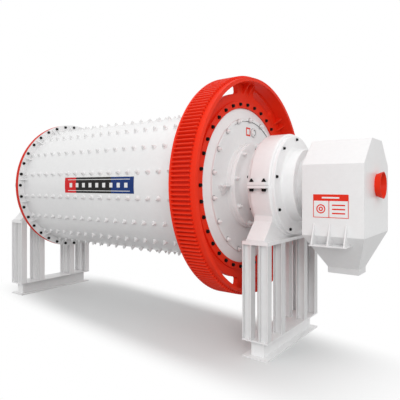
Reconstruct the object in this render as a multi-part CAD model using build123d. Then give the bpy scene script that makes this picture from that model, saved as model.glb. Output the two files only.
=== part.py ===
from build123d import *
import math
import os

# Ball mill, 2400 mm inside diameter and 4500 mm long. Millimetres.
# +X runs along the mill from the feed end to the discharge end, -Y is the front, +Z is up.
# Pieces are drawn about the middle of the mill axis. save() then sets the mill on the floor.

# Shell, its two flanges and their gussets
shell_inner_radius = 1200
shell_thickness = 30
shell_length = 4500
flange_height = 135
flange_thickness = 45
flange_gusset_count = 18
flange_gusset_first_angle = 5
flange_gusset_reach = 125
flange_gusset_inset = 15
flange_gusset_thickness = 16

# Heads that close the shell
head_rim_height = 36
head_edge_projection = 87
head_slope_width = 166
head_slope_rise = 46
head_plate_recess = 40
head_nut_ring_step = 27
head_nut_ring_width = 46
head_disc_recess = 10
head_boss_margin = 15
head_boss_step = 70
head_ring_thickness = 47
hand_hole_radius = 50
hand_hole_height = 24
hand_hole_distance = 183
hand_hole_angle = 98
lug_angles = (0, 180)
lug_distance = 105
lug_width = 136
lug_height = 87
lug_reach = 72
lug_plate_thickness = 18
lug_web_reach = 40

# Girth gear in two halves: straight spur teeth between a lip at the back and a plain band at the front
gear_module = 20
gear_rise_to_pitch = 375
gear_pressure_angle = 20
gear_addendum_share = 1.0
gear_dedendum_share = 1.25
gear_backlash_share = 0.04
gear_flank_steps = 3
gear_overhang = 100
gear_lip_width = 30
gear_tooth_length = 310
gear_band_width = 88
gear_band_step = 8
gear_rim_thickness = 50
gear_web_thickness = 80
gear_bolt_ring_width = 114
gear_bolt_ring_step = 31
gear_spoke_count = 8
gear_spoke_half_angle = 9.5
gear_window_to_rim = 25
gear_window_height = 135
gear_window_corner = 45
gear_rib_offset = 78
gear_rib_thickness = 26
gear_rib_height = 170
gear_rib_recess = 118

# Trunnions
journal_radius = 430
journal_overrun = 120
journal_step = 40
trunnion_wall = 70
trunnion_spigot_step = 70
trunnion_flange_width = 255
trunnion_flange_thickness = 60
trunnion_flange_round = 10
trunnion_fillet = 150
trunnion_open_length = 260
feed_trunnion_projection = 22
discharge_trunnion_reach = 50

# Bearings
housing_half_width = 165
housing_edge_round = 28
housing_foot_step = 22
housing_flange_width = 90
housing_flange_half_height = 45
housing_shoulder_inset = 115
housing_shoulder_drop = 440
housing_shoulder_height = 78
housing_foot_width = 25
housing_foot_cut = 24
housing_foot_plate = 24
cover_thickness = 55
mill_cover_inset = 50
cover_ring_width = 210
outer_cover_inset = 35
cover_edge_round = 12
cover_hub_wall = 109
cover_hub_length = 188
cover_hub_fillet = 40

# Pedestals, under each bearing
pedestal_half_width = 203
pedestal_end_margin = 18
top_plate_thickness = 50
column_height = 1335
column_depth = 140
column_width = 125
column_flange_thickness = 14
column_web_thickness = 10
column_side_margin = 3
column_inner_offset = 415
lower_plate_thickness = 20
beam_height = 215
beam_half_width = 102
beam_end_inset = 88
floor_plate_thickness = 20

# Discharge hood
hood_length = 825
hood_half_width = 627
hood_wall_drop = 679
hood_eaves_height = 280
hood_roof_height = 630
hood_roof_half_width = 258
hood_sheet = 12
hopper_bottom_drop = 1158
outlet_length = 430
outlet_width = 340
outlet_height = 83
spout_root_radius = 155
spout_mouth_radius = 185
spout_length = 85
spout_wall = 12
collar_length = 165
collar_wall = 39
bracket_offset = -25
bracket_half_length = 250
bracket_reach = 118
bracket_tip = 10
bracket_rise = 164
bracket_fall = 112
bracket_shelf_thickness = 14
bracket_gusset_spacing = 215
bracket_gusset_thickness = 20

# Clearances
seat_clearance = 0.3
seal_clearance = 6

# Sizes that follow from the ones above
shell_outer_radius = shell_inner_radius + shell_thickness
half_length = shell_length / 2
flange_radius = shell_outer_radius + flange_height
flange_inner_face = half_length - flange_thickness
head_radius = shell_outer_radius + head_rim_height
head_edge_face = half_length + head_edge_projection
head_slope_face = head_edge_face + head_slope_rise
nut_ring_radius = head_radius - head_slope_width
nut_ring_inner_radius = nut_ring_radius - head_nut_ring_width
nut_ring_face = head_slope_face + head_nut_ring_step
head_disc_face = nut_ring_face - head_disc_recess
head_boss_face = head_disc_face + head_boss_step
neck_radius = journal_radius - journal_step
trunnion_bore_radius = neck_radius - trunnion_wall
trunnion_spigot_radius = journal_radius + trunnion_spigot_step
trunnion_flange_radius = journal_radius + trunnion_flange_width
trunnion_flange_face = head_boss_face + trunnion_flange_thickness
head_boss_radius = trunnion_flange_radius + head_boss_margin
mill_cover_face = trunnion_flange_face + trunnion_open_length
housing_near_face = mill_cover_face + cover_thickness
bearing_distance = housing_near_face + housing_half_width
housing_far_face = bearing_distance + housing_half_width
foot_near_face = housing_near_face + housing_foot_step
foot_far_face = housing_far_face - housing_foot_step
journal_end = housing_far_face + journal_overrun
ring_face = housing_far_face + cover_thickness
cover_bore_radius = journal_radius + seal_clearance
cover_hub_radius = cover_bore_radius + cover_hub_wall
outer_cover_radius = cover_hub_radius + cover_ring_width
housing_radius = outer_cover_radius + outer_cover_inset
hub_end = ring_face + cover_hub_length
gear_tooth_count = 2 * round((flange_radius + gear_rise_to_pitch) / gear_module)
gear_pitch_radius = gear_module * gear_tooth_count / 2
gear_tip_radius = gear_pitch_radius + gear_addendum_share * gear_module
gear_root_radius = gear_pitch_radius - gear_dedendum_share * gear_module
gear_band_radius = gear_root_radius + gear_band_step
gear_rim_inner_radius = gear_root_radius - gear_rim_thickness
gear_bolt_ring_radius = head_radius + gear_bolt_ring_width
gear_back = half_length - gear_overhang
tooth_back = gear_back + gear_lip_width
tooth_front = tooth_back + gear_tooth_length
gear_front = tooth_front + gear_band_width
web_front = half_length + gear_web_thickness
housing_flange_reach = housing_radius + housing_flange_width
housing_foot_reach = housing_flange_reach + housing_foot_width
housing_foot_drop = housing_radius - housing_foot_cut
foot_bottom = housing_foot_drop + housing_foot_plate
pedestal_half_length = housing_foot_reach + pedestal_end_margin
column_row_offset = pedestal_half_width - column_side_margin - column_depth / 2
column_outer_offset = pedestal_half_length - column_width / 2
column_top = foot_bottom + top_plate_thickness
column_bottom = column_top + column_height
beam_half_length = pedestal_half_length - beam_end_inset
beam_top = column_bottom + lower_plate_thickness
beam_bottom = beam_top + beam_height
axis_height = beam_bottom + floor_plate_thickness
collar_bore_radius = neck_radius + seal_clearance
collar_radius = collar_bore_radius + collar_wall
hood_start = hub_end + collar_length
hood_end = hood_start + hood_length
hood_middle = hood_start + hood_length / 2
left_end = hub_end + feed_trunnion_projection
right_end = hood_end + spout_length
middle_shift = (left_end - right_end) / 2

os.makedirs("parts", exist_ok=True)


def save(name, shape):
    export_step(Pos(middle_shift, 0, axis_height) * shape, "parts/" + name + ".step")


def other_end(shape):
    return mirror(shape, about=Plane.YZ)


def turned(points, rounds=()):
    # points are (x, radius), and rounds gives the corners that are rounded, each with its radius
    outline = make_face(Polyline(*points, close=True))
    for corner, radius in rounds:
        outline = fillet(outline.vertices().sort_by_distance((*corner, 0))[0], radius)
    return revolve(Plane.XZ * outline, Axis.X)


def tube(inner, outer, start, end):
    return turned([(start, inner), (end, inner), (end, outer), (start, outer)])


def block(x_low, x_high, y_low, y_high, z_low, z_high):
    size = (x_high - x_low, y_high - y_low, z_high - z_low)
    return Pos(x_low, y_low, z_low) * Box(*size, align=(Align.MIN, Align.MIN, Align.MIN))


def slab(points, start, end):
    # points are (y, z), and the slab runs along X from start to end
    outline = make_face(Polyline(*[(start, y, z) for y, z in points], close=True))
    return extrude(outline, end - start, dir=(1, 0, 0))


def about_axis(angle, shape):
    # angle 0 points to the front and 90 points up
    return Rot(-angle, 0, 0) * shape


def flange():
    foot = shell_outer_radius + seat_clearance
    tip = flange_inner_face - flange_gusset_reach
    ring = tube(foot, flange_radius, flange_inner_face, half_length)
    corners = [
        (flange_inner_face, -shell_inner_radius),
        (flange_inner_face, flange_gusset_inset - flange_radius),
        (tip, -foot),
        (tip, -shell_inner_radius),
    ]
    half = flange_gusset_thickness / 2
    outline = make_face(Polyline(*[(x, y, -half) for x, y in corners], close=True))
    gusset = extrude(outline, flange_gusset_thickness, dir=(0, 0, 1))
    gusset -= tube(0, foot, tip, flange_inner_face)
    step = 360 / flange_gusset_count
    angles = [flange_gusset_first_angle + step * n for n in range(flange_gusset_count)]
    return ring + [about_axis(angle, gusset) for angle in angles]


def head():
    bore = trunnion_spigot_radius + seat_clearance
    plate_face = half_length + head_plate_recess
    return turned([
        (half_length, head_radius),
        (half_length, shell_inner_radius),
        (plate_face, shell_inner_radius),
        (plate_face, bore),
        (head_boss_face, bore),
        (head_boss_face, head_boss_radius),
        (head_disc_face, head_boss_radius),
        (head_disc_face, nut_ring_inner_radius),
        (nut_ring_face, nut_ring_inner_radius),
        (nut_ring_face, nut_ring_radius),
        (head_slope_face, nut_ring_radius),
        (head_edge_face, head_radius),
    ])


def hand_hole():
    boss = Cylinder(hand_hole_radius, hand_hole_height, align=(Align.CENTER, Align.CENTER, Align.MIN))
    boss = chamfer(boss.edges().sort_by(Axis.Z)[-1], hand_hole_height / 2)
    boss = Pos(head_disc_face, -head_boss_radius - hand_hole_distance, 0) * Rot(0, 90, 0) * boss
    return about_axis(hand_hole_angle, boss)


def lifting_lug():
    # a plate square to the head, over a wedge that narrows downwards
    inner = -head_boss_radius - lug_distance
    outer = inner - lug_width
    plate_end = head_disc_face + lug_reach
    shape = block(head_disc_face, plate_end, outer, inner, -lug_plate_thickness, 0)
    wedge = [(outer, -lug_plate_thickness), (inner, -lug_plate_thickness), ((outer + inner) / 2, -lug_height)]
    return shape + slab(wedge, head_disc_face, head_disc_face + lug_web_reach)


def whole_head():
    return head() + hand_hole() + [about_axis(angle, lifting_lug()) for angle in lug_angles]


def involute_angle(radius, base_radius):
    pressure = math.acos(base_radius / radius)
    return math.tan(pressure) - pressure


def tooth_outline():
    # one tooth as (radius, angle in radians from its middle), from one root to the other
    base_radius = gear_pitch_radius * math.cos(math.radians(gear_pressure_angle))
    pitch_half = math.pi / (2 * gear_tooth_count) * (1 - gear_backlash_share)
    pitch_roll = involute_angle(gear_pitch_radius, base_radius)
    rise = gear_tip_radius - gear_root_radius
    flank = []
    for n in range(gear_flank_steps + 1):
        radius = gear_root_radius + rise * n / gear_flank_steps
        flank.append((radius, pitch_half + pitch_roll - involute_angle(radius, base_radius)))
    left = [(radius, -angle) for radius, angle in flank]
    return left + flank[::-1]


def gear_half():
    # the front half: teeth from the bottom of the mill, round the front, to the top
    pitch = 2 * math.pi / gear_tooth_count
    points = []
    for n in range(gear_tooth_count // 2):
        middle = (n + 0.5) * pitch - math.pi / 2
        for radius, angle in tooth_outline():
            turn = middle + angle
            points.append((-radius * math.cos(turn), radius * math.sin(turn)))
    bottom = (0, -gear_root_radius)
    top = (0, gear_root_radius)
    solid = slab([bottom] + points + [top], tooth_back, tooth_front)
    solid = solid - tube(0, gear_rim_inner_radius, tooth_back, tooth_front)
    lip = tube(gear_rim_inner_radius, gear_tip_radius, gear_back, tooth_back)
    band = tube(gear_rim_inner_radius, gear_band_radius, tooth_front, gear_front)
    web = tube(head_radius + seat_clearance, gear_rim_inner_radius, half_length, web_front)
    ring_front = web_front + gear_bolt_ring_step
    web = web + tube(head_radius + seat_clearance, gear_bolt_ring_radius, half_length, ring_front)
    web = web - gear_windows() + gear_ribs()
    front = block(gear_back, gear_front, -gear_tip_radius, 0, -gear_tip_radius, gear_tip_radius)
    return solid + (lip & front) + (band & front) + (web & front)


def gear_windows():
    step = 360 / gear_spoke_count
    half = step / 2 - gear_spoke_half_angle
    outer_radius = gear_rim_inner_radius - gear_window_to_rim
    inner_radius = outer_radius - gear_window_height
    with BuildSketch(Plane.YZ.offset(half_length)) as sketch:
        with BuildLine():
            inner = CenterArc((0, 0), inner_radius, -half, 2 * half)
            outer = CenterArc((0, 0), outer_radius, -half, 2 * half)
            Line(inner @ 0, outer @ 0)
            Line(inner @ 1, outer @ 1)
        make_face()
        fillet(sketch.vertices(), gear_window_corner)
    window = extrude(sketch.sketch, gear_web_thickness)
    return [Rot(step * (n + 0.5), 0, 0) * window for n in range(gear_spoke_count)]


def gear_ribs():
    # two ribs on each spoke, level with the web at the bolt ring and rising to the rim
    deep = gear_front - gear_rib_recess
    foot = gear_rib_height - gear_rim_inner_radius
    rim = -gear_rim_inner_radius
    corners = [(web_front, foot), (web_front, rim), (deep, rim)]
    step = 360 / gear_spoke_count
    ribs = []
    for side in (-1, 1):
        low = side * gear_rib_offset - gear_rib_thickness / 2
        outline = make_face(Polyline(*[(x, y, low) for x, y in corners], close=True))
        rib = extrude(outline, gear_rib_thickness, dir=(0, 0, 1))
        ribs += [about_axis(step * n, rib) for n in range(gear_spoke_count)]
    return ribs


def trunnion(end):
    start = half_length + head_plate_recess
    root = (trunnion_flange_face, journal_radius)
    flange_edge = (trunnion_flange_face, trunnion_flange_radius)
    return turned([
        (start, trunnion_bore_radius),
        (end, trunnion_bore_radius),
        (end, neck_radius),
        (journal_end, neck_radius),
        (journal_end, journal_radius),
        root,
        flange_edge,
        (head_boss_face, trunnion_flange_radius),
        (head_boss_face, trunnion_spigot_radius),
        (start, trunnion_spigot_radius),
    ], [(root, trunnion_fillet), (flange_edge, trunnion_flange_round)])


def split_flange(low, high):
    return block(foot_near_face, foot_far_face, -housing_flange_reach, housing_flange_reach, low, high)


def bearing_bore():
    return tube(0, journal_radius + seat_clearance, housing_near_face, housing_far_face)


def housing_drum():
    edges = [(housing_near_face, housing_radius), (housing_far_face, housing_radius)]
    outline = [(housing_near_face, 0), *edges, (housing_far_face, 0)]
    return turned(outline, [(edge, housing_edge_round) for edge in edges])


def bearing_cap():
    upper = block(housing_near_face, housing_far_face, -housing_radius, housing_radius, 0, housing_radius)
    return (housing_drum() & upper) + split_flange(0, housing_flange_half_height) - bearing_bore()


def bearing_base():
    lower = block(housing_near_face, housing_far_face, -housing_radius, housing_radius, -housing_foot_drop, 0)
    shoulder_reach = housing_radius - housing_shoulder_inset
    shoulder_bottom = housing_shoulder_drop + housing_shoulder_height
    right = [
        (shoulder_reach, -housing_shoulder_drop),
        (shoulder_reach, -shoulder_bottom),
        (housing_foot_reach, -housing_foot_drop),
    ]
    outline = right + [(-y, z) for y, z in right[::-1]]
    foot = slab(outline, foot_near_face, foot_far_face)
    reach = pedestal_half_length
    plate = block(foot_near_face, foot_far_face, -reach, reach, -foot_bottom, -housing_foot_drop)
    base = (housing_drum() & lower) + foot + plate + split_flange(-housing_flange_half_height, 0)
    return base - bearing_bore()


def mill_cover():
    bore = cover_bore_radius
    radius = housing_radius - mill_cover_inset
    edge = (mill_cover_face, radius)
    outline = [(mill_cover_face, bore), edge, (housing_near_face, radius), (housing_near_face, bore)]
    return turned(outline, [(edge, cover_edge_round)])


def outer_cover():
    bore = cover_bore_radius
    hub_edge = (hub_end, cover_hub_radius)
    hub_root = (ring_face, cover_hub_radius)
    ring_edge = (ring_face, outer_cover_radius)
    return turned([
        (housing_far_face, bore),
        (journal_end + seal_clearance, bore),
        (journal_end + seal_clearance, collar_bore_radius),
        (hub_end, collar_bore_radius),
        hub_edge,
        hub_root,
        ring_edge,
        (housing_far_face, outer_cover_radius),
    ], [(hub_edge, cover_edge_round), (hub_root, cover_hub_fillet), (ring_edge, cover_edge_round)])


def pedestal_plate(half_width, half_length_y, top, thickness):
    low = bearing_distance - half_width
    high = bearing_distance + half_width
    return block(low, high, -half_length_y, half_length_y, -top - thickness, -top)


def column(x_offset, y_offset):
    half_depth = column_depth / 2
    half_width = column_width / 2
    web = column_web_thickness / 2
    inner = half_depth - column_flange_thickness
    x = bearing_distance + x_offset
    floor = -column_bottom
    roof = -column_top
    shape = block(x - half_depth, x - inner, y_offset - half_width, y_offset + half_width, floor, roof)
    shape += block(x + inner, x + half_depth, y_offset - half_width, y_offset + half_width, floor, roof)
    shape += block(x - inner, x + inner, y_offset - web, y_offset + web, floor, roof)
    return shape


def pedestal_base():
    shape = pedestal_plate(pedestal_half_width, pedestal_half_length, column_bottom, lower_plate_thickness)
    shape += pedestal_plate(beam_half_width, beam_half_length, beam_top, beam_height)
    shape += pedestal_plate(pedestal_half_width, pedestal_half_length, beam_bottom, floor_plate_thickness)
    return shape


def hood_outline(inset):
    # the slope of the roof sets how far its lower corners move when the outline shrinks
    run = hood_half_width - hood_roof_half_width
    rise = hood_roof_height - hood_eaves_height
    slant = math.hypot(run, rise)
    eaves_move = inset * (slant - rise) / run
    roof_move = inset * (slant - run) / rise
    side = hood_half_width - inset
    top = hood_roof_half_width - roof_move
    right = [(side, -hood_wall_drop), (side, hood_eaves_height - eaves_move), (top, hood_roof_height - inset)]
    return right + [(-y, z) for y, z in right[::-1]]


def hood_casing():
    casing = slab(hood_outline(0), hood_start, hood_end)
    casing -= slab(hood_outline(hood_sheet), hood_start + hood_sheet, hood_end - hood_sheet)
    casing -= tube(0, collar_bore_radius, hood_start, hood_start + hood_sheet)
    casing -= tube(0, spout_root_radius - spout_wall, hood_end - hood_sheet, hood_end)
    return casing


def funnel_outline(top_half, bottom_half, inset):
    right = [(top_half - inset, -hood_wall_drop), (bottom_half - inset, -hopper_bottom_drop)]
    return right + [(-y, z) for y, z in right[::-1]]


def pyramid(inset):
    # where a wedge seen from the end crosses a wedge seen from the front
    end_outline = funnel_outline(hood_half_width, outlet_width / 2, inset)
    front_outline = funnel_outline(hood_length / 2, outlet_length / 2, inset)
    from_end = slab(end_outline, hood_start, hood_end)
    from_front = slab(front_outline, -hood_half_width, hood_half_width)
    return from_end & (Pos(hood_middle, 0, 0) * Rot(0, 0, 90) * from_front)


def hopper():
    return pyramid(0) - pyramid(hood_sheet)


def outlet_neck():
    x_half = outlet_length / 2
    y_half = outlet_width / 2
    low = -hopper_bottom_drop - outlet_height
    outside = block(hood_middle - x_half, hood_middle + x_half, -y_half, y_half, low, -hopper_bottom_drop)
    x_half -= hood_sheet
    y_half -= hood_sheet
    return outside - block(hood_middle - x_half, hood_middle + x_half, -y_half, y_half, low, -hopper_bottom_drop)


def duct_spout():
    return turned([
        (hood_end, spout_root_radius - spout_wall),
        (right_end, spout_mouth_radius - spout_wall),
        (right_end, spout_mouth_radius),
        (hood_end, spout_root_radius),
    ])


def hood_collar():
    # stands still round the turning trunnion, and joins the hood to the bearing cover
    return tube(collar_bore_radius, collar_radius, hub_end, hood_start)


def hopper_reach(drop):
    share = (drop - hood_wall_drop) / (hopper_bottom_drop - hood_wall_drop)
    return hood_half_width + (outlet_width / 2 - hood_half_width) * share


def bracket():
    # a shelf with three gussets, on the front wall and hopper
    middle = hood_middle + bracket_offset
    tip = -hood_half_width - bracket_reach
    shelf_top = hood_wall_drop + bracket_fall
    shelf_bottom = shelf_top + bracket_shelf_thickness
    gusset_top = hood_wall_drop - bracket_rise
    shelf_outline = [
        (tip, -shelf_top),
        (-hopper_reach(shelf_top), -shelf_top),
        (-hopper_reach(shelf_bottom), -shelf_bottom),
        (tip, -shelf_bottom),
    ]
    shape = slab(shelf_outline, middle - bracket_half_length, middle + bracket_half_length)
    gusset_outline = [
        (-hood_half_width, -gusset_top),
        (-hood_half_width - bracket_tip, -gusset_top),
        (tip, -shelf_top),
        (-hopper_reach(shelf_top), -shelf_top),
        (-hood_half_width, -hood_wall_drop),
    ]
    half = bracket_gusset_thickness / 2
    for n in (-1, 0, 1):
        x = middle + n * bracket_gusset_spacing
        shape += slab(gusset_outline, x - half, x + half)
    return shape


# Turning pieces
save("shell", tube(shell_inner_radius, shell_outer_radius, -half_length, half_length))
save("discharge_flange", flange())
save("feed_flange", other_end(flange()))
save("discharge_head", whole_head())
save("feed_head", other_end(whole_head()))
feed_ring = tube(head_radius + seat_clearance, flange_radius, half_length, half_length + head_ring_thickness)
save("feed_head_ring", other_end(feed_ring))
front_gear = gear_half()
save("girth_gear_front", front_gear)
save("girth_gear_back", mirror(front_gear, about=Plane.XZ))
save("discharge_trunnion", trunnion(hood_start + hood_sheet + discharge_trunnion_reach))
save("feed_trunnion", other_end(trunnion(left_end)))

# Bearings and pedestals, the same at both ends
plate_size = (pedestal_half_width, pedestal_half_length)
bearing_nodes = {
    "bearing_base": bearing_base(),
    "bearing_cap": bearing_cap(),
    "mill_side_cover": mill_cover(),
    "outer_cover": outer_cover(),
    "pedestal_top": pedestal_plate(*plate_size, foot_bottom, top_plate_thickness),
    "pedestal_base": pedestal_base(),
}
number = 0
for y_offset in (-column_outer_offset, -column_inner_offset, column_inner_offset, column_outer_offset):
    for x_offset in (-column_row_offset, column_row_offset):
        number += 1
        bearing_nodes["column_" + str(number)] = column(x_offset, y_offset)
for name, shape in bearing_nodes.items():
    save("discharge_" + name, shape)
    save("feed_" + name, other_end(shape))

# Discharge hood
save("hood_casing", hood_casing())
save("hood_hopper", hopper())
save("outlet_neck", outlet_neck())
save("duct_spout", duct_spout())
save("hood_collar", hood_collar())
front_bracket = bracket()
save("front_bracket", front_bracket)
save("back_bracket", mirror(front_bracket, about=Plane.XZ))
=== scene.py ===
import math
from collections import namedtuple

import bmesh
import bpy
from mathutils import Matrix, Vector

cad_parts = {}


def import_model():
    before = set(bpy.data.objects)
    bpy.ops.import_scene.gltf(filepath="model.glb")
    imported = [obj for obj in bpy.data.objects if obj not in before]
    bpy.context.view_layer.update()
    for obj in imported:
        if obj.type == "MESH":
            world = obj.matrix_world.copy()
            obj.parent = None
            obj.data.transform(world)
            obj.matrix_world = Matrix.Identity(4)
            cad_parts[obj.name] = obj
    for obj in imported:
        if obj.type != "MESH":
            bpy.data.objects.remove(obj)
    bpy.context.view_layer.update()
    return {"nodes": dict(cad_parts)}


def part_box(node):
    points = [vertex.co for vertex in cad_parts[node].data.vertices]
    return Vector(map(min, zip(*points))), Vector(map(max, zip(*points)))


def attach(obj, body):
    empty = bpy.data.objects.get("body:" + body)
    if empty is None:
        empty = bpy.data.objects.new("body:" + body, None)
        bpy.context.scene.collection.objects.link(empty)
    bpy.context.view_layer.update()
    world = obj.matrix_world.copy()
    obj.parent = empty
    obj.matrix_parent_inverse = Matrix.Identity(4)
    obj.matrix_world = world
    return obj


# Ball mill: the finish of every surface, bolts, nuts and plain panels. Lengths are in metres.
# Angles round the mill axis are in degrees: 0 points to the front (-Y) and 90 points up.
# side is 1 at the discharge end and -1 at the feed end; along is the distance from the middle.

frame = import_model()

# Camera, found from the bolt circles in the photograph
CAMERA_PLACE = (5.3696, -6.1389, 2.4276)
CAMERA_TURN = 36.287
CAMERA_LENS = 38.19
CAMERA_SENSOR = 36.0
CAMERA_SHIFT = -0.0365

# Where the faces that carry bolts lie: thicknesses, or distances from the end of the shell
FLANGE_PLATE = 0.045
GEAR_RING_FACE = 0.111
HEAD_DISC_FACE = 0.150
NUT_RING_FACE = 0.160
TRUNNION_FACE = 0.280
COVER_PLATE = 0.055
SPLIT_FLANGE = 0.045
SPLIT_FLANGE_INSET = 0.022

# Where the paint changes: on the feed flange's rim, and on the teeth from the shell's end
RIM_DEPTH = 0.010
TOOTH_START = -0.069
TOOTH_END = 0.239
# Depth over which the teeth darken towards the roots as painted shade
TOOTH_DEPTH = 0.045
TOOTH_PAINT_DEPTH = 0.0585

# Counts and places of bolts and nuts
FLANGE_BOLTS = 36
FLANGE_BOLT_RADIUS = 1.320
GEAR_BOLT_RADIUS = 1.328
HEAD_NUTS = 18
HEAD_NUT_RADIUS = 1.070
TRUNNION_NUTS = 9
TRUNNION_NUT_RADIUS = 0.633
COVER_BOLTS = 9
COVER_BOLT_RADIUS = 0.700
HALF_STEP = 0.5
QUARTER_STEP = 0.25
SPLIT_BOLT_X = 0.098
SPLIT_BOLT_Y = 0.840
SPLIT_GASKET_START = 0.700
SPLIT_GASKET_PROUD = 0.001
SPLIT_GASKET_HALF = 0.002

# Fasteners: radius and height of the washer, width across the flats, height and turn (in
# radians) of the head or nut, and radius and top of the stud's end where one comes through
Fastener = namedtuple("Fastener", "washer seat across height turn stud stud_top", defaults=(0, 0))
FEED_BOLT_HEAD = Fastener(0.029, 0.005, 0.048, 0.026, 0.4)
FEED_BOLT_NUT = Fastener(0.029, 0.005, 0.048, 0.026, 0.1, 0.015, 0.044)
GEAR_BOLT_HEAD = Fastener(0.029, 0.005, 0.048, 0.028, 0.2, 0.014, 0.040)
GEAR_BOLT_NUT = Fastener(0.029, 0.005, 0.048, 0.026, 0.3, 0.014, 0.040)
HEAD_NUT = Fastener(0.044, 0.007, 0.062, 0.030, 0.2, 0.016, 0.066)
TRUNNION_NUT = Fastener(0.042, 0.006, 0.062, 0.034, 0.3, 0.018, 0.070)
COVER_BOLT = Fastener(0.023, 0.004, 0.038, 0.022, 0.2)
SPLIT_BOLT_NUT = Fastener(0.036, 0.006, 0.052, 0.024, 0.0, 0.017, 0.050)
SPLIT_BOLT_HEAD = Fastener(0.040, 0.008, 0.062, 0.036, 0.0)
HEX_BEVEL = 0.12
WASHER_SIDES = 20
STUD_SIDES = 12

# Liner bolts: rows along the shell, on cupped washers given by radius and height
LINER_ROWS = 18
LINER_FIRST_OFFSET = 0.117
LINER_LAST_OFFSET = 0.100
LINER_PITCH = 0.2259
LINER_SINK = 0.001
LINER_WASHER = ((0.045, 0), (0.044, 0.005), (0.031, 0.018))
LINER_NUT_ACROSS = 0.050
LINER_NUT_HEIGHT = 0.028
LINER_NUT_FOOT = 0.016
LINER_NUT_TURN = 0.5
LINER_STUD = 0.015
LINER_STUD_FOOT = 0.040
LINER_STUD_TOP = 0.066

# The bead along the nut ring: dark between two angles, a painted shadow along the top of the
# ring, and painted white elsewhere
SEAM_RADIUS = 1.053
SEAM_WIDTH = 0.005
SEAM_HEIGHT = 0.009
SEAM_SIDES = 120
SEAM_SHADOW_START = 64.0
SEAM_SHADOW_END = 150.0

# Hand hole, lifting lugs and tag on the heads
HAND_HOLE_ANGLE = 98.0
HAND_HOLE_CENTRE = 0.883
HAND_HOLE_RADIUS = 0.050
HAND_HOLE_FLANGE = 0.070
HAND_HOLE_HEIGHT = 0.034
HAND_HOLE_EDGE = 0.004
HAND_HOLE_SIDES = 40
HAND_HOLE_BOLTS = 8
HAND_HOLE_BOLT_ACROSS = 0.013
HAND_HOLE_BOLT_HEIGHT = 0.007
# Dark rings at the hand hole's foot and in its mouth: painted shade
HAND_HOLE_SHADE_WIDTH = 0.005
HAND_HOLE_FOOT_SHADE = 0.003
HAND_HOLE_MOUTH_SHADE = 0.026
LUG_ANGLES = (0, 180)
LUG_OUTER = 0.903
LUG_INNER = 0.762
LUG_REACH = 0.130
LUG_TOP = 0.002
LUG_PLATE = 0.020
LUG_DROP = 0.150
LUG_EDGE = 0.002
LUG_RIB_SETBACK = 0.008
LUG_RIB_INSET = 0.005
LUG_RIB_TIP = 0.006
TAG_ANGLE = 87.6
TAG_CENTRE = 0.880
TAG_FRAME = (0.068, 0.070)
TAG_WINDOW = (0.042, 0.044)
TAG_PLATE_TOP = 0.002
TAG_WINDOW_TOP = 0.003
TAG_EDGE = 0.001

# Thickness of every sheet that makes up a panel
SHEET = 0.0006

# Banner on the shell: its reach and angles, and the places of its fields as shares of those;
# a lift is how far a sheet's face stands off what carries it
BANNER_START = -0.847
BANNER_END = 0.959
BANNER_LOW_ANGLE = -6.45
BANNER_HIGH_ANGLE = 6.65
BANNER_BORDER = (0.006, 0.035)
BANNER_RED_SHARE = 0.18
BANNER_BLUE_SHARE = 0.70
BANNER_MARGIN = 0.05
BANNER_RULES = (0.13, 0.835)
BANNER_RULE = 0.035
BANNER_SQUARES = 9
BANNER_SQUARE_START = 0.29
BANNER_SQUARE_SHARE = 0.42
BANNER_SQUARE_LOW = 0.36
BANNER_SQUARE_HIGH = 0.64
BANNER_LIFTS = (0.0010, 0.0018, 0.0025)
BANNER_STEPS = 8

# Panel on the hood, from the mill's middle and axis
PANEL_LEFT = 3.742
PANEL_RIGHT = 4.214
PANEL_TOP = -0.121
PANEL_BOTTOM = -0.431
PANEL_LINE = 0.009
PANEL_HEAD = 0.086
PANEL_SPLIT = 0.210
PANEL_RINGS = ((0.046, 0.062), (0.014, 0.030))
PANEL_RING_SIDES = 32
PANEL_BARS = (0.20, 0.45, 0.70)
PANEL_BAR = 0.018
PANEL_BAR_INSET = 0.045
PANEL_STRIPE_INSET = 0.12
PANEL_STRIPE_DROP = (0.054, 0.034)
PANEL_LIFTS = (0.0015, 0.0022, 0.0029, 0.0036)

# Noise in the finishes: scale, detail and roughness; ranges of it that make up the tones
DRIFT = (0.9, 3.0, 0.55)
MOTTLE = (14.0, 5.0, 0.62)
PEEL = (170.0, 2.0, 0.5)
METAL_GRAIN = (60.0, 4.0, 0.6)
FILM_STREAKS = (9.0, 4.0, 0.6)
DRIFT_RANGE = (0.35, 0.66)
MOTTLE_RANGE = (0.30, 0.62)
GRAIN_RANGE = (0.3, 0.7)
MOTTLE_TONE = 0.975

# Relief of the finishes: strength and height
PEEL_RELIEF = (0.12, 0.0012)
METAL_RELIEF = (0.2, 0.0006)
FILM_RELIEF = (0.08, 0.0008)

# Gloss and edge wear; on the teeth a painted highlight on the edges and painted shade towards the
# roots
COAT_ROUGHNESS = 0.22
METAL_ROUGHNESS = (0.32, 0.55)
FILM_ROUGHNESS = (0.30, 0.42)
FILM_SPECULAR = 0.15
EDGE_RANGE = (0.80, 0.985)
EDGE_SAMPLES = 4
PAINT_EDGE = 0.006
TOOTH_HIGHLIGHT_WIDTH = 0.008
METAL_EDGE = 0.003
ROOT_SHADE_RANGE = (0.10, 0.60)
ROOT_SHADE_TONE = (0.80, 0.62, 0.55)

# Which nodes and faces take which paint; a face points a way if its normal does by FACING
GEAR_NODES = ("girth_gear_front", "girth_gear_back")
RED_NODES = (*GEAR_NODES, "duct_spout", "feed_head_ring")
# These parts take a brighter, smoother white: painted light
PAINTED_LIGHT_PARTS = ("trunnion", "outer_cover", "bearing_base", "bearing_cap",
                "pedestal_top", "pedestal_base")
# Faces of these parts that point along +X, and all of the outlet neck, take a darker white:
# painted shade
PAINTED_SHADE_PARTS = ("hood_hopper", "outlet_neck", "discharge_column", "feed_pedestal_base")
FACING = 0.7
SHARP_ANGLE = 35

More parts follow.
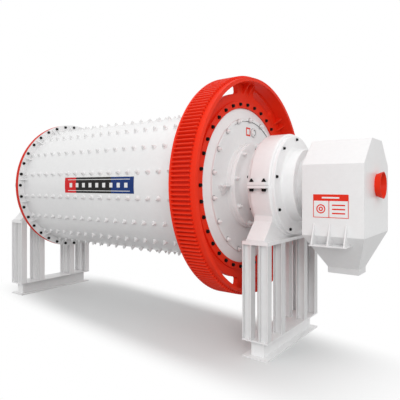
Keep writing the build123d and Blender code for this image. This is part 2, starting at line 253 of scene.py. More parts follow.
# Floor: it turns white outside a squared oval, which lies along the machine
FLOOR_SIZE = 60
FLOOR_MIDDLE = (-0.078, -0.277)
FLOOR_TURN = -7.8
FLOOR_REACH_X = 5.023
FLOOR_REACH_Y = 1.481
FLOOR_SQUARENESS = 4.6
FLOOR_FADE_START = 0.52
FLOOR_TONE = (0.790, 0.803, 0.804)
FLOOR_BOUNCE = 0.45
FLOOR_ROUGHNESS = 0.7
FLOOR_SPECULAR = 0.2

# Light: each softbox has a name, a place, a width, a height and a power
WORLD_LIGHT = 0.84
SOFTBOXES = (("overhead", (-0.5, -0.5, 9.5), 11, 8, 120),
             ("corner", (8.5, -9.5, 6.0), 5, 4, 380),
             ("left", (-9.0, -9.0, 5.0), 6, 5, 50))

nodes = frame["nodes"]
shell_low, shell_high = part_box("shell")
mid_x = (shell_low.x + shell_high.x) / 2
half_length = (shell_high.x - shell_low.x) / 2
axis = Vector((mid_x, 0, (shell_low.z + shell_high.z) / 2))
shell_radius = (shell_high.z - shell_low.z) / 2


# Mesh helpers

def finished(name, bm, materials, body):
    """Turns the mesh into a piece with those materials, which rides on that body."""
    mesh = bpy.data.meshes.new(name)
    bm.to_mesh(mesh)
    bm.free()
    mesh.shade_smooth()
    mesh.set_sharp_from_angle(angle=math.radians(SHARP_ANGLE))
    piece = bpy.data.objects.new(name, mesh)
    bpy.context.scene.collection.objects.link(piece)
    for material in materials:
        mesh.materials.append(material)
    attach(piece, body)


def ring_of(bm, radius, height, sides, place, turn=0.0):
    points = []
    for n in range(sides):
        angle = 2 * math.pi * n / sides + turn
        local = Vector((radius * math.cos(angle), radius * math.sin(angle), height))
        points.append(bm.verts.new(place @ local))
    return points


def join_rings(bm, lower, upper):
    count = len(lower)
    for n in range(count):
        after = (n + 1) % count
        bm.faces.new((lower[n], lower[after], upper[after], upper[n]))


def close_ends(bm, lowest, highest):
    bm.faces.new(lowest[::-1])
    bm.faces.new(highest)


def stack(bm, place, levels, sides, turn=0.0):
    """A closed round or many-sided piece: levels are (radius, height) from bottom to top."""
    rings = [ring_of(bm, radius, height, sides, place, turn) for radius, height in levels]
    for lower, upper in zip(rings, rings[1:]):
        join_rings(bm, lower, upper)
    close_ends(bm, rings[0], rings[-1])


def turned_ring(bm, place, profile, sides):
    """A ring whose cross-section goes round the (radius, height) corners of the profile."""
    rings = [ring_of(bm, radius, height, sides, place) for radius, height in profile]
    for lower, upper in zip(rings, rings[1:] + rings[:1]):
        join_rings(bm, lower, upper)


def bevelled_profile(inner, outer, height, edge):
    return ((outer, 0), (outer, height - edge), (outer - edge, height),
            (inner + edge, height), (inner, height - edge), (inner, 0))


def hex_head(bm, place, across, height, foot, turn=0.0):
    """A six-sided head or nut with its top corners taken off."""
    corner = across / math.sqrt(3)
    bevel = HEX_BEVEL * across
    top = foot + height
    stack(bm, place, [(corner, foot), (corner, top - bevel), (corner - bevel, top)], 6, turn)


def washer(bm, place, radius, height):
    edge = height / 4
    levels = [(radius, 0), (radius, height - edge), (radius - edge, height)]
    stack(bm, place, levels, WASHER_SIDES)


def stud_end(bm, place, radius, foot, top):
    tip = radius / 2
    stack(bm, place, [(radius, foot), (radius, top - tip), (radius - tip, top)], STUD_SIDES)


def fasten(bm, place, kind, washers=None):
    """A washer, a head or nut on it, and the stud's end; washers may go into another mesh."""
    washer(bm if washers is None else washers, place, kind.washer, kind.seat)
    hex_head(bm, place, kind.across, kind.height, kind.seat, kind.turn)
    if kind.stud:
        stud_end(bm, place, kind.stud, kind.seat + kind.height, kind.stud_top)


def colour_faces(bm, first, slot_number):
    """Gives the faces from that number on a material slot."""
    bm.faces.ensure_lookup_table()
    for wall in bm.faces[first:]:
        wall.material_index = slot_number


def about_axis(angle, radius, along):
    """The point at that angle and radius round the mill axis."""
    turn = math.radians(angle)
    return axis + Vector((along, -radius * math.cos(turn), radius * math.sin(turn)))


def facing(point, direction):
    """A frame whose Z runs along direction."""
    turn = direction.to_track_quat("Z", "Y")
    return Matrix.Translation(point) @ turn.to_matrix().to_4x4()


def circle_places(count, first_share, radius, along, side):
    """Places on a circle round the axis, facing outwards from that side."""
    for n in range(count):
        angle = 360 * (n + first_share) / count
        yield facing(about_axis(angle, radius, along), Vector((side, 0, 0)))


# Material helpers: each gives the output that the next one takes

# Sockets of a Mix node that mixes colours
MIX_FACTOR, MIX_FIRST, MIX_SECOND, MIX_RESULT = 0, 6, 7, 2


def grey(value):
    return (value, value, value)


def feed(tree, entry, source):
    """Sets an input from another node's output, or from a plain number, vector or colour."""
    if isinstance(source, bpy.types.NodeSocket):
        tree.links.new(source, entry)
    else:
        entry.default_value = source


def add_node(tree, kind, inputs, **settings):
    node = tree.nodes.new(kind)
    for key, value in settings.items():
        setattr(node, key, value)
    for key, source in inputs.items():
        feed(tree, node.inputs[key], source)
    return node


def object_place(tree):
    return tree.nodes.new("ShaderNodeTexCoord").outputs["Object"]


def noise(tree, kind):
    scale, detail, roughness = kind
    inputs = {"Vector": object_place(tree), "Scale": scale, "Detail": detail,
              "Roughness": roughness}
    return add_node(tree, "ShaderNodeTexNoise", inputs).outputs["Fac"]


def ramp(tree, factor, span, low_colour, high_colour):
    node = add_node(tree, "ShaderNodeValToRGB", {"Fac": factor})
    for element, position, colour in zip(node.color_ramp.elements, span,
                                         (low_colour, high_colour)):
        element.position = position
        element.color = (*colour, 1)
    return node.outputs["Color"]


def colour_mix(tree, way, factor, first, second):
    inputs = {MIX_FACTOR: factor, MIX_FIRST: first, MIX_SECOND: second}
    node = add_node(tree, "ShaderNodeMix", inputs, data_type="RGBA", blend_type=way)
    return node.outputs[MIX_RESULT]


def maths(tree, operation, *terms):
    inputs = dict(enumerate(terms))
    return add_node(tree, "ShaderNodeMath", inputs, operation=operation).outputs["Value"]


def vector_maths(tree, operation, output, *terms):
    inputs = dict(enumerate(terms))
    node = add_node(tree, "ShaderNodeVectorMath", inputs, operation=operation)
    return node.outputs[output]


def map_range(tree, value, inputs, **settings):
    node = add_node(tree, "ShaderNodeMapRange", {"Value": value, **inputs}, **settings)
    return node.outputs["Result"]


def edge_mask(tree, radius):
    """The rounded normal, and white where the surface turns sharply: there paint thins, and on
    the teeth the lighter edge is a painted highlight.
    """
    bevel = add_node(tree, "ShaderNodeBevel", {"Radius": radius}, samples=EDGE_SAMPLES)
    normal = bevel.outputs["Normal"]
    flat = tree.nodes.new("ShaderNodeNewGeometry").outputs["Normal"]
    likeness = vector_maths(tree, "DOT_PRODUCT", "Value", normal, flat)
    return normal, ramp(tree, likeness, EDGE_RANGE, grey(1), grey(0))


def new_material(name, specular):
    material = bpy.data.materials.new(name)
    material.use_nodes = True
    shader = material.node_tree.nodes["Principled BSDF"]
    shader.inputs["Specular IOR Level"].default_value = specular
    return material, material.node_tree, shader


def surface(tree, shader, gloss_noise, roughness, relief_noise, relief, normal=None):
    """Roughness and fine relief of the shader, from noise."""
    low, high = roughness
    feed(tree, shader.inputs["Roughness"],
         map_range(tree, gloss_noise, {"To Min": low, "To Max": high}))
    strength, height = relief
    inputs = {"Strength": strength, "Distance": height, "Height": relief_noise}
    if normal is not None:
        inputs["Normal"] = normal
    bump = add_node(tree, "ShaderNodeBump", inputs)
    feed(tree, shader.inputs["Normal"], bump.outputs["Normal"])


def paint(name, colour, shade, edge_wear_and_highlight_colour, roughness, specular, coat, edge_radius=PAINT_EDGE):
    """Sprayed machine paint: slow colour drift, faint mottling, orange peel and lighter edges,
    which are wear, and on the teeth a painted highlight.
    """
    material, tree, shader = new_material(name, specular)
    shader.inputs["Coat Weight"].default_value = coat
    shader.inputs["Coat Roughness"].default_value = COAT_ROUGHNESS
    mottle = noise(tree, MOTTLE)
    slow = ramp(tree, noise(tree, DRIFT), DRIFT_RANGE, shade, colour)
    spots = ramp(tree, mottle, MOTTLE_RANGE, grey(MOTTLE_TONE), grey(1))
    sprayed = colour_mix(tree, "MULTIPLY", 1.0, slow, spots)
    normal, edges = edge_mask(tree, edge_radius)
    edge_wear_and_highlight = maths(tree, "MULTIPLY", edges, mottle)
    feed(tree, shader.inputs["Base Color"],
         colour_mix(tree, "MIX", edge_wear_and_highlight, sprayed, (*edge_wear_and_highlight_colour, 1)))
    surface(tree, shader, mottle, roughness, noise(tree, PEEL), PEEL_RELIEF, normal)
    return material


def small_parts(name, dark, light, rubbed_tone, metallic, specular):
    """Finish of bolts, washers, gaskets and dark marks of painted shade: a mottled grey with
    rubbed corners.
    """
    material, tree, shader = new_material(name, specular)
    shader.inputs["Metallic"].default_value = metallic
    grain = noise(tree, METAL_GRAIN)
    tone = ramp(tree, grain, GRAIN_RANGE, grey(dark), grey(light))
    normal, edges = edge_mask(tree, METAL_EDGE)
    feed(tree, shader.inputs["Base Color"],
         colour_mix(tree, "MIX", edges, tone, (*grey(rubbed_tone), 1)))
    surface(tree, shader, grain, METAL_ROUGHNESS, grain, METAL_RELIEF, normal)
    return material


def film(name, colour, shade):
    """Printed vinyl film: an even colour with faint streaks and a smooth satin face."""
    material, tree, shader = new_material(name, FILM_SPECULAR)
    streaks = noise(tree, FILM_STREAKS)
    feed(tree, shader.inputs["Base Color"], ramp(tree, streaks, GRAIN_RANGE, shade, colour))
    surface(tree, shader, streaks, FILM_ROUGHNESS, streaks, FILM_RELIEF)
    return material


# Finishes

white = paint("white_machine_paint", grey(0.86), (0.84, 0.837, 0.84), grey(0.93),
              roughness=(0.30, 0.42), specular=0.5, coat=0.25)
# A brighter copy of the white paint: painted light on the bearings and pedestals, and a painted
# highlight on the lug shelves
painted_light_white = paint("white_paint_painted_light", grey(0.91), (0.90, 0.897, 0.90), grey(0.94),
               roughness=(0.28, 0.38), specular=0.5, coat=0.3)
# A darker copy of the white paint: painted shade on faces that point along +X and on the lug ribs
painted_shade_white = paint("white_paint_painted_shade", grey(0.72), (0.70, 0.698, 0.70), grey(0.86),
                 roughness=(0.34, 0.46), specular=0.5, coat=0.15)
RED, RED_SHADE, RED_WORN = (0.89, 0.036, 0.010), (0.83, 0.030, 0.008), (0.92, 0.07, 0.03)
red = paint("red_machine_paint", RED, RED_SHADE, RED_WORN,
            roughness=(0.44, 0.58), specular=0.12, coat=0.02)
red_rim = paint("red_rim_paint", (0.74, 0.026, 0.009), (0.68, 0.022, 0.008), RED_WORN,
                roughness=(0.44, 0.58), specular=0.12, coat=0.02)
# Teeth: lighter edges as a painted highlight; paint_teeth darkens them towards the roots as
# painted shade
red_teeth_shade_and_highlight = paint("red_tooth_paint_shade_and_highlight", RED, RED_SHADE, (0.95, 0.12, 0.06),
                  roughness=(0.42, 0.54), specular=0.15, coat=0.03, edge_radius=TOOTH_HIGHLIGHT_WIDTH)
black = small_parts("black_bolts", 0.002, 0.006, 0.018, metallic=0.0, specular=0.12)
# Dark grey for the gaskets, and painted shade on the head seams and at the hand holes
seal_and_shade = small_parts("dark_seal_and_painted_shade", 0.11, 0.16, 0.20, metallic=0.0, specular=0.2)
# Washers under the head nuts: galvanised grey, darkened as painted shade round the nuts
zinc_and_shade = small_parts("zinc_washers_and_painted_shade", 0.40, 0.50, 0.62, metallic=0.3, specular=0.5)
nut_paint = small_parts("painted_nuts", 0.72, 0.84, 0.90, metallic=0.0, specular=0.5)
film_white = film("white_film", grey(0.86), grey(0.83))
film_red = film("red_film", (0.70, 0.012, 0.014), (0.64, 0.009, 0.011))
film_signal = film("signal_film", (0.80, 0.034, 0.015), (0.75, 0.029, 0.013))
film_blue = film("blue_film", (0.006, 0.036, 0.185), (0.005, 0.030, 0.160))
film_dark = film("dark_film", grey(0.007), grey(0.010))


def paint_nodes():
    """Red or white on each CAD part; the bearings and pedestals take a brighter, smoother white
    as painted light, and some end faces a darker white as painted shade.
    """
    for name, piece in nodes.items():
        materials = piece.data.materials
        materials.clear()
        if name == "feed_head_ring":
            materials.append(red_rim)
        elif name in RED_NODES:
            materials.append(red)
        else:
            materials.append(painted_light_white if name.endswith(PAINTED_LIGHT_PARTS) else white)
        # A darker white on faces that point along +X: painted shade
        if name.startswith(PAINTED_SHADE_PARTS):
            materials.append(painted_shade_white)
            for polygon in piece.data.polygons:
                if polygon.normal.x > FACING or name == "outlet_neck":
                    polygon.material_index = 1


def paint_feed_rim():
    """The feed flange is white with a red outer edge, which carries on over its head ring."""
    flange = nodes["feed_flange"].data
    flange.materials.append(red_rim)
    low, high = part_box("feed_flange")
    radius = (high.z - low.z) / 2
    for polygon in flange.polygons:
        outward = Vector((0, polygon.center.y, polygon.center.z - axis.z))
        on_rim = outward.length > radius - RIM_DEPTH
        if on_rim and polygon.normal.dot(outward) > FACING * outward.length:
            polygon.material_index = 1


def paint_teeth():
    """Between the gear's lip and band the paint is darker towards the roots: painted shade in the
    tooth gaps.
    """
    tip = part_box(GEAR_NODES[0])[1].z - axis.z
    for name in GEAR_NODES:
        gear = nodes[name].data
        gear.materials.append(red_teeth_shade_and_highlight)
        for polygon in gear.polygons:
            along = polygon.center.x - mid_x - half_length
            radius = math.hypot(polygon.center.y, polygon.center.z - axis.z)
            if TOOTH_START < along < TOOTH_END and radius > tip - TOOTH_PAINT_DEPTH:
                polygon.material_index = 1
    tree = red_teeth_shade_and_highlight.node_tree
    base_colour = tree.nodes["Principled BSDF"].inputs["Base Color"]
    painted = base_colour.links[0].from_socket
    centred = vector_maths(tree, "SUBTRACT", "Vector", object_place(tree), axis)
    across = vector_maths(tree, "MULTIPLY", "Vector", centred, (0, 1, 1))
    radius = vector_maths(tree, "LENGTH", "Value", across)
    depth = map_range(tree, radius, {"From Min": tip - TOOTH_DEPTH, "From Max": tip})
    # Darker towards the roots: painted shade in the tooth gaps
    root_shade = ramp(tree, depth, ROOT_SHADE_RANGE, ROOT_SHADE_TONE, grey(1))
    feed(tree, base_colour, colour_mix(tree, "MULTIPLY", 1.0, painted, root_shade))


paint_nodes()
paint_feed_rim()
paint_teeth()


# Bolts, nuts and fittings of the drum

def flange_bolts():
    """Black bolts through both flanges, with a head or nut on each side."""
    ring_low, ring_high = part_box("feed_head_ring")
    flange_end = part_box("discharge_flange")[1].x
    feed_front = ring_high.x - mid_x + FLANGE_PLATE
    gear_back = flange_end - mid_x - FLANGE_PLATE
    gear_front = half_length + GEAR_RING_FACE
    for name, radius, along, side, kind in (
            ("feed_flange_bolt_heads", FLANGE_BOLT_RADIUS, feed_front, 1, FEED_BOLT_HEAD),
            ("feed_flange_nuts", FLANGE_BOLT_RADIUS, ring_low.x - mid_x, -1, FEED_BOLT_NUT),
            ("gear_bolt_heads", GEAR_BOLT_RADIUS, gear_front, 1, GEAR_BOLT_HEAD),
            ("gear_bolt_nuts", FLANGE_BOLT_RADIUS, gear_back, -1, GEAR_BOLT_NUT)):
        bm = bmesh.new()
        for place in circle_places(FLANGE_BOLTS, 0, radius, along, side):
            fasten(bm, place, kind)
        finished(name, bm, [black], "drum")


def liner_bolts():
    """White bolts that hold the liners, in rows along the shell, each on a cupped washer."""
    room = 2 * half_length - LINER_FIRST_OFFSET - LINER_LAST_OFFSET
    count = 1 + int(room / LINER_PITCH)
    for row in range(LINER_ROWS):
        washers = bmesh.new()
        nuts = bmesh.new()
        angle = 360 * (row + HALF_STEP) / LINER_ROWS
        for n in range(count):
            along = -half_length + LINER_FIRST_OFFSET + LINER_PITCH * n
            point = about_axis(angle, shell_radius - LINER_SINK, along)
            place = facing(point, (point - axis) * Vector((0, 1, 1)))
            stack(washers, place, LINER_WASHER, WASHER_SIDES)
            hex_head(nuts, place, LINER_NUT_ACROSS, LINER_NUT_HEIGHT, LINER_NUT_FOOT,
                     LINER_NUT_TURN * n)
            stud_end(nuts, place, LINER_STUD, LINER_STUD_FOOT, LINER_STUD_TOP)
        finished("liner_washers_%02d" % (row + 1), washers, [white], "drum")
        finished("liner_bolts_%02d" % (row + 1), nuts, [nut_paint], "drum")


def head_nuts(end, side):
    """White nuts on the head's rim and on the trunnion flange; the head's nuts sit on galvanised
    grey washers, darkened as painted shade round the nuts.
    """
    ring_face = (half_length + NUT_RING_FACE) * side
    flange_face = (half_length + TRUNNION_FACE) * side
    nuts = bmesh.new()
    washers = bmesh.new()
    for place in circle_places(HEAD_NUTS, HALF_STEP, HEAD_NUT_RADIUS, ring_face, side):
        fasten(nuts, place, HEAD_NUT, washers)
    finished(end + "_head_nuts", nuts, [white], "drum")
    finished(end + "_head_washers", washers, [zinc_and_shade], "drum")
    nuts = bmesh.new()
    for place in circle_places(TRUNNION_NUTS, QUARTER_STEP, TRUNNION_NUT_RADIUS,
                               flange_face, side):
        fasten(nuts, place, TRUNNION_NUT)
    finished(end + "_trunnion_nuts", nuts, [white], "drum")


def head_seam(end, side):
    """The bead along the nut ring: dark at the top as a painted shadow, painted white elsewhere.
    """
    bm = bmesh.new()
    face = (half_length + HEAD_DISC_FACE) * side
    edge = min(SEAM_HEIGHT, SEAM_WIDTH / 2) / 2
    profile = bevelled_profile(SEAM_RADIUS - SEAM_WIDTH, SEAM_RADIUS, SEAM_HEIGHT, edge)
    turned_ring(bm, facing(about_axis(0, 0, face), Vector((side, 0, 0))), profile, SEAM_SIDES)
    # Dark between the two angles: a painted shadow along the top of the ring
    for wall in bm.faces:
        outward = wall.calc_center_median() - axis
        angle = math.degrees(math.atan2(outward.z, -outward.y))
        wall.material_index = 0 if SEAM_SHADOW_START < angle < SEAM_SHADOW_END else 1
    finished(end + "_head_seam", bm, [seal_and_shade, white], "drum")


def head_lugs(end, side):
    """The lifting lugs: a flat shelf in the brighter white as a painted highlight, with a
    wedge-shaped rib under it in the darker white as painted shade.
    """
    face = (half_length + HEAD_DISC_FACE) * side
    middle = (LUG_OUTER + LUG_INNER) / 2
    shelf = ((LUG_REACH, LUG_INNER, LUG_OUTER, LUG_TOP),
             (LUG_REACH, LUG_INNER, LUG_OUTER, -LUG_PLATE))
    rib = ((LUG_REACH - LUG_RIB_SETBACK, LUG_INNER + LUG_RIB_INSET,
            LUG_OUTER - LUG_RIB_INSET, -LUG_PLATE),
           (LUG_REACH / 3, middle - LUG_RIB_TIP, middle + LUG_RIB_TIP, -LUG_DROP))
    bm = bmesh.new()
    for angle in LUG_ANGLES:
        turn = (Matrix.Translation(axis + Vector((face, 0, 0)))
                @ Matrix.Rotation(math.radians(angle), 4, "X"))

        def outline(reach, inner, outer, level):
            corners = ((-LUG_EDGE, -outer), (reach - LUG_EDGE, -outer),
                       (reach, -outer + LUG_EDGE), (reach, -inner - LUG_EDGE),
                       (reach - LUG_EDGE, -inner), (-LUG_EDGE, -inner))
            return [bm.verts.new(turn @ Vector((x * side, y, level))) for x, y in corners]

        for slot_number, (top_level, low_level) in enumerate((shelf, rib)):
            first = len(bm.faces)
            upper = outline(*top_level)
            lower = outline(*low_level)
            join_rings(bm, upper, lower)
            close_ends(bm, upper, lower)
            colour_faces(bm, first, slot_number)
    bmesh.ops.recalc_face_normals(bm, faces=bm.faces)
    finished(end + "_head_lugs", bm, [painted_light_white, painted_shade_white], "drum")


def hand_hole(end, side):
    """The bolted ring round the hand hole's boss, and dark rings at its foot and in its mouth:
    painted shade.
    """
    face = (half_length + HEAD_DISC_FACE) * side
    centre = facing(about_axis(HAND_HOLE_ANGLE, HAND_HOLE_CENTRE, face), Vector((side, 0, 0)))
    middle = (HAND_HOLE_RADIUS + HAND_HOLE_FLANGE) / 2
    bm = bmesh.new()
    profile = bevelled_profile(HAND_HOLE_RADIUS, HAND_HOLE_FLANGE, HAND_HOLE_HEIGHT,
                               HAND_HOLE_EDGE)
    turned_ring(bm, centre, profile, HAND_HOLE_SIDES)
    for n in range(HAND_HOLE_BOLTS):
        turn = 2 * math.pi * (n + HALF_STEP) / HAND_HOLE_BOLTS
        spot = (middle * math.cos(turn), middle * math.sin(turn), HAND_HOLE_HEIGHT)
        place = centre @ Matrix.Translation(spot)
        hex_head(bm, place, HAND_HOLE_BOLT_ACROSS, HAND_HOLE_BOLT_HEIGHT, 0)
    finished(end + "_hand_hole_ring", bm, [white], "drum")
    # Dark rings at the foot and in the mouth: painted shade
    bm = bmesh.new()
    for inner, outer, height in (
            (HAND_HOLE_FLANGE, HAND_HOLE_FLANGE + HAND_HOLE_SHADE_WIDTH, HAND_HOLE_FOOT_SHADE),
            (HAND_HOLE_RADIUS - HAND_HOLE_SHADE_WIDTH, HAND_HOLE_RADIUS, HAND_HOLE_MOUTH_SHADE)):
        profile = ((outer, 0), (outer, height), (inner, height), (inner, 0))
        turned_ring(bm, centre, profile, HAND_HOLE_SIDES)
    finished(end + "_hand_hole_painted_shade", bm, [seal_and_shade], "drum")


# Bolts and gaskets of the bearings

def cover_bolts(end, side):
    """Black bolts round both covers of a bearing."""
    cap_low, cap_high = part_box(end + "_bearing_cap")
    near, far = sorted((abs(cap_low.x - mid_x), abs(cap_high.x - mid_x)))
    bm = bmesh.new()
    for along, way in (((far + COVER_PLATE) * side, side), ((near - COVER_PLATE) * side, -side)):
        for place in circle_places(COVER_BOLTS, QUARTER_STEP, COVER_BOLT_RADIUS, along, way):
            fasten(bm, place, COVER_BOLT)
    finished(end + "_cover_bolts", bm, [black], "frame")


def split_bolts(end):
    """Black bolts that hold the housing's cap down, two on each side."""
    cap_low, cap_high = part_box(end + "_bearing_cap")
    centre = (cap_low.x + cap_high.x) / 2
    bm = bmesh.new()
    for x in (centre - SPLIT_BOLT_X, centre + SPLIT_BOLT_X):
        for y in (-SPLIT_BOLT_Y, SPLIT_BOLT_Y):
            fasten(bm, Matrix.Translation((x, y, axis.z + SPLIT_FLANGE)), SPLIT_BOLT_NUT)
            under = Vector((x, y, axis.z - SPLIT_FLANGE))
            fasten(bm, facing(under, Vector((0, 0, -1))), SPLIT_BOLT_HEAD)
    finished(end + "_split_bolts", bm, [black], "frame")


def prism(bm, low, high, edge=0.001):
    """A box with its upright edges taken off, between two corners."""
    outline = [(low.x + edge, low.y), (high.x - edge, low.y),
               (high.x, low.y + edge), (high.x, high.y - edge),
               (high.x - edge, high.y), (low.x + edge, high.y),
               (low.x, high.y - edge), (low.x, low.y + edge)]
    lower, upper = [[bm.verts.new((x, y, z)) for x, y in outline] for z in (low.z, high.z)]
    join_rings(bm, lower, upper)
    close_ends(bm, lower, upper)


def split_gasket(end):
    """The edge of the gasket between the housing's cap and base."""
    low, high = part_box(end + "_bearing_cap")
    x_low = low.x + SPLIT_FLANGE_INSET - SPLIT_GASKET_PROUD
    x_high = high.x - SPLIT_FLANGE_INSET + SPLIT_GASKET_PROUD
    bm = bmesh.new()
    for y_low, y_high in ((low.y - SPLIT_GASKET_PROUD, -SPLIT_GASKET_START),
                          (SPLIT_GASKET_START, high.y + SPLIT_GASKET_PROUD)):
        prism(bm, Vector((x_low, y_low, axis.z - SPLIT_GASKET_HALF)),
              Vector((x_high, y_high, axis.z + SPLIT_GASKET_HALF)))
    finished(end + "_split_gasket", bm, [seal_and_shade], "frame")


flange_bolts()
liner_bolts()
for end, side in (("feed", -1), ("discharge", 1)):
    head_nuts(end, side)
    head_seam(end, side)
    head_lugs(end, side)
    hand_hole(end, side)
    cover_bolts(end, side)
    split_bolts(end)
    split_gasket(end)


# Panels: plain coloured fields with no lettering

def curved_field(bm, start, end, low, high, lift, slot_number):
    """A field on the shell between two places along it and two angles: a thin curved sheet."""
    first = len(bm.faces)
    top, bottom = [], []
    for sheet, radius in ((top, shell_radius + lift), (bottom, shell_radius + lift - SHEET)):
        for n in range(BANNER_STEPS + 1):
            angle = low + (high - low) * n / BANNER_STEPS
            sheet.append([bm.verts.new(about_axis(angle, radius, x)) for x in (start, end)])
    for n in range(BANNER_STEPS):
        bm.faces.new((top[n][0], top[n][1], top[n + 1][1], top[n + 1][0]))
        bm.faces.new((bottom[n][0], bottom[n + 1][0], bottom[n + 1][1], bottom[n][1]))
        bm.faces.new((top[n][0], top[n + 1][0], bottom[n + 1][0], bottom[n][0]))
        bm.faces.new((top[n][1], bottom[n][1], bottom[n + 1][1], top[n + 1][1]))
    bm.faces.new((top[0][0], bottom[0][0], bottom[0][1], top[0][1]))
    bm.faces.new((top[-1][0], top[-1][1], bottom[-1][1], bottom[-1][0]))
    colour_faces(bm, first, slot_number)


def shell_banner():
    """A dark plate with a red and a blue end, pale rules and a row of plain squares."""
    pale, red_end, blue_end, dark = range(4)
    length = BANNER_END - BANNER_START
    height = BANNER_HIGH_ANGLE - BANNER_LOW_ANGLE
    plate, field, mark = BANNER_LIFTS
    bm = bmesh.new()

    def part(left, right, low, high, lift, slot_number):
        curved_field(bm, BANNER_START + left * length, BANNER_START + right * length,
                     BANNER_LOW_ANGLE + low * height, BANNER_LOW_ANGLE + high * height,
                     lift, slot_number)

    wide, tall = BANNER_BORDER
    part(-wide, 1 + wide, -tall, 1 + tall, plate, pale)
    part(0, BANNER_RED_SHARE, 0, 1, field, red_end)
    part(BANNER_RED_SHARE, BANNER_BLUE_SHARE, 0, 1, field, dark)
    part(BANNER_BLUE_SHARE, 1, 0, 1, field, blue_end)
    for low in BANNER_RULES:
        part(BANNER_MARGIN, 1 - BANNER_MARGIN, low, low + BANNER_RULE, mark, pale)
    step = (1 - 2 * BANNER_MARGIN) / BANNER_SQUARES
    for n in range(BANNER_SQUARES):
        left = BANNER_MARGIN + step * (n + BANNER_SQUARE_START)
        part(left, left + BANNER_SQUARE_SHARE * step, BANNER_SQUARE_LOW, BANNER_SQUARE_HIGH,
             mark, pale)
    finished("shell_banner", bm, [film_white, film_red, film_blue, film_dark], "drum")


def flat_field(bm, left, right, low, high, lift, slot_number):
    """A field on the hood's front wall, as a thin flat sheet."""
    first = len(bm.faces)
    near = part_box("hood_casing")[0].y - lift
    corners = [(left, low), (right, low), (right, high), (left, high)]
    front, back = [[bm.verts.new((mid_x + x, y, axis.z + z)) for x, z in corners]
                   for y in (near, near + SHEET)]
    bm.faces.new(front)
    bm.faces.new(back[::-1])
    for n in range(4):
        after = (n + 1) % 4
        bm.faces.new((front[after], front[n], back[n], back[after]))
    colour_faces(bm, first, slot_number)


def disc_field(bm, x, z, inner, outer, lift, slot_number):
    """A flat ring on the hood's front wall."""
    first = len(bm.faces)
    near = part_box("hood_casing")[0].y - lift
    far = near + SHEET
    rings = []
    for radius, y in ((inner, far), (inner, near), (outer, near), (outer, far)):
        ring = []
        for n in range(PANEL_RING_SIDES):
            turn = 2 * math.pi * n / PANEL_RING_SIDES
            ring.append(bm.verts.new((mid_x + x + radius * math.cos(turn), y,
                                      axis.z + z + radius * math.sin(turn))))
        rings.append(ring)
    for lower, upper in zip(rings, rings[1:] + rings[:1]):
        join_rings(bm, lower, upper)
    colour_faces(bm, first, slot_number)


def hood_panel():
    """A plain white plate with a red head band and frame, two rings and three bars."""
    pale, signal = range(2)
    plate, mark, side_line, split_line = PANEL_LIFTS
    bottom = PANEL_BOTTOM + PANEL_LINE
    head = PANEL_TOP - PANEL_HEAD
    split = PANEL_LEFT + PANEL_SPLIT
    left_line = PANEL_LEFT + PANEL_LINE
    right_line = PANEL_RIGHT - PANEL_LINE
    bm = bmesh.new()
    flat_field(bm, PANEL_LEFT, PANEL_RIGHT, PANEL_BOTTOM, PANEL_TOP, plate, pale)
    flat_field(bm, PANEL_LEFT, PANEL_RIGHT, head, PANEL_TOP, mark, signal)
    flat_field(bm, PANEL_LEFT, PANEL_RIGHT, PANEL_BOTTOM, bottom, mark, signal)
    flat_field(bm, PANEL_LEFT, left_line, PANEL_BOTTOM, PANEL_TOP, side_line, signal)
    flat_field(bm, right_line, PANEL_RIGHT, PANEL_BOTTOM, PANEL_TOP, side_line, signal)
    flat_field(bm, split, split + PANEL_LINE, bottom, head, split_line, signal)
    for inner, outer in PANEL_RINGS:
        disc_field(bm, (PANEL_LEFT + split) / 2, (bottom + head) / 2, inner, outer, mark, signal)
    for share in PANEL_BARS:
        low = bottom + share * (head - bottom)
        flat_field(bm, split + PANEL_BAR_INSET, PANEL_RIGHT - PANEL_BAR_INSET, low,
                   low + PANEL_BAR, mark, signal)
    low, high = [PANEL_TOP - drop for drop in PANEL_STRIPE_DROP]
    flat_field(bm, PANEL_LEFT + PANEL_STRIPE_INSET, PANEL_RIGHT - PANEL_STRIPE_INSET,
               low, high, side_line, pale)
    finished("hood_panel", bm, [film_white, film_signal], "frame")


def head_tag(end, side):
    """A small plain plate with a red frame, beside the hand hole."""
    pale, signal = range(2)
    face = (half_length + HEAD_DISC_FACE) * side
    place = facing(about_axis(TAG_ANGLE, TAG_CENTRE, face), Vector((side, 0, 0)))
    bm = bmesh.new()
    for (half_wide, half_high), foot, top, slot_number in (
            (TAG_FRAME, 0, TAG_PLATE_TOP, signal),
            (TAG_WINDOW, TAG_PLATE_TOP, TAG_WINDOW_TOP, pale)):
        first = len(bm.faces)
        rings = []
        for level, less in ((foot, 0), (top, TAG_EDGE)):
            wide = half_wide - less
            high = half_high - less
            corners = ((-wide, -high), (wide, -high), (wide, high), (-wide, high))
            rings.append([bm.verts.new(place @ Vector((x, y, level))) for x, y in corners])
        join_rings(bm, *rings)
        close_ends(bm, *rings)
        colour_faces(bm, first, slot_number)
    finished(end + "_head_tag", bm, [film_white, film_signal], "drum")


shell_banner()
hood_panel()
head_tag("discharge", 1)


# Camera, floor, background and lights

def camera():
    data = bpy.data.cameras.new("camera")
    data.lens = CAMERA_LENS
    data.sensor_width = CAMERA_SENSOR
    data.shift_y = CAMERA_SHIFT
    viewer = bpy.data.objects.new("camera", data)
    viewer.location = CAMERA_PLACE
    viewer.rotation_euler = (math.pi / 2, 0, math.radians(CAMERA_TURN))
    bpy.context.scene.collection.objects.link(viewer)
    bpy.context.scene.camera = viewer


def either_ray(tree, second_kind):
    """1 where the camera sees the surface, straight or by that other kind of ray."""
    path = tree.nodes.new("ShaderNodeLightPath")
    return maths(tree, "MAXIMUM", path.outputs["Is Camera Ray"], path.outputs[second_kind])


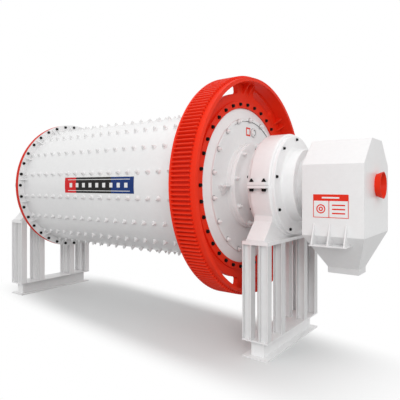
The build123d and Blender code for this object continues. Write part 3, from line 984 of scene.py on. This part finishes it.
def floor_material():
    """Takes the shadow near the machine and turns to plain white further out."""
    material, tree, shader = new_material("floor", FLOOR_SPECULAR)
    shader.inputs["Roughness"].default_value = FLOOR_ROUGHNESS
    seen = either_ray(tree, "Is Glossy Ray")
    inputs = {"Vector": object_place(tree), "Location": (*FLOOR_MIDDLE, 0),
              "Rotation": (0, 0, math.radians(FLOOR_TURN)),
              "Scale": (FLOOR_REACH_X, FLOOR_REACH_Y, 1)}
    stretch = add_node(tree, "ShaderNodeMapping", inputs, vector_type="TEXTURE")
    parts = add_node(tree, "ShaderNodeSeparateXYZ", {"Vector": stretch.outputs["Vector"]})
    # a squared oval: the root of the sum of both shares' powers
    powers = [maths(tree, "POWER", maths(tree, "ABSOLUTE", parts.outputs[way]),
                    FLOOR_SQUARENESS) for way in ("X", "Y")]
    reach = maths(tree, "POWER", maths(tree, "ADD", *powers), 1 / FLOOR_SQUARENESS)
    fade = map_range(tree, reach, {"From Min": FLOOR_FADE_START, "From Max": 1.0},
                     interpolation_type="SMOOTHSTEP")
    feed(tree, shader.inputs["Base Color"],
         ramp(tree, seen, (0, 1), grey(FLOOR_BOUNCE), FLOOR_TONE))
    glow = tree.nodes.new("ShaderNodeEmission")
    inputs = {"Fac": maths(tree, "MULTIPLY", seen, fade), 1: shader.outputs["BSDF"],
              2: glow.outputs["Emission"]}
    mix = add_node(tree, "ShaderNodeMixShader", inputs)
    feed(tree, tree.nodes["Material Output"].inputs["Surface"], mix.outputs["Shader"])
    return material


def floor():
    bm = bmesh.new()
    corners = ((-1, -1), (1, -1), (1, 1), (-1, 1))
    bm.faces.new([bm.verts.new((x * FLOOR_SIZE, y * FLOOR_SIZE, 0)) for x, y in corners])
    mesh = bpy.data.meshes.new("floor")
    bm.to_mesh(mesh)
    bm.free()
    plane = bpy.data.objects.new("floor", mesh)
    bpy.context.scene.collection.objects.link(plane)
    mesh.materials.append(floor_material())


def world():
    """White behind the machine, and a softer even light on it."""
    sky = bpy.data.worlds.new("studio")
    bpy.context.scene.world = sky
    sky.use_nodes = True
    tree = sky.node_tree
    background = tree.nodes["Background"]
    background.inputs["Color"].default_value = (1, 1, 1, 1)
    seen = either_ray(tree, "Is Transmission Ray")
    feed(tree, background.inputs["Strength"],
         map_range(tree, seen, {"To Min": WORLD_LIGHT, "To Max": 1.0}))


def lights():
    """Softboxes that all look at the mill's axis."""
    for name, place, width, height, power in SOFTBOXES:
        data = bpy.data.lights.new(name, "AREA")
        data.shape = "RECTANGLE"
        data.size = width
        data.size_y = height
        data.energy = power
        lamp = bpy.data.objects.new(name, data)
        lamp.location = place
        lamp.rotation_mode = "QUATERNION"
        aim = Vector((0, 0, axis.z)) - Vector(place)
        lamp.rotation_quaternion = aim.to_track_quat("-Z", "Y")
        bpy.context.scene.collection.objects.link(lamp)


camera()
floor()
world()
lights()
bpy.context.scene.view_settings.view_transform = "Standard"
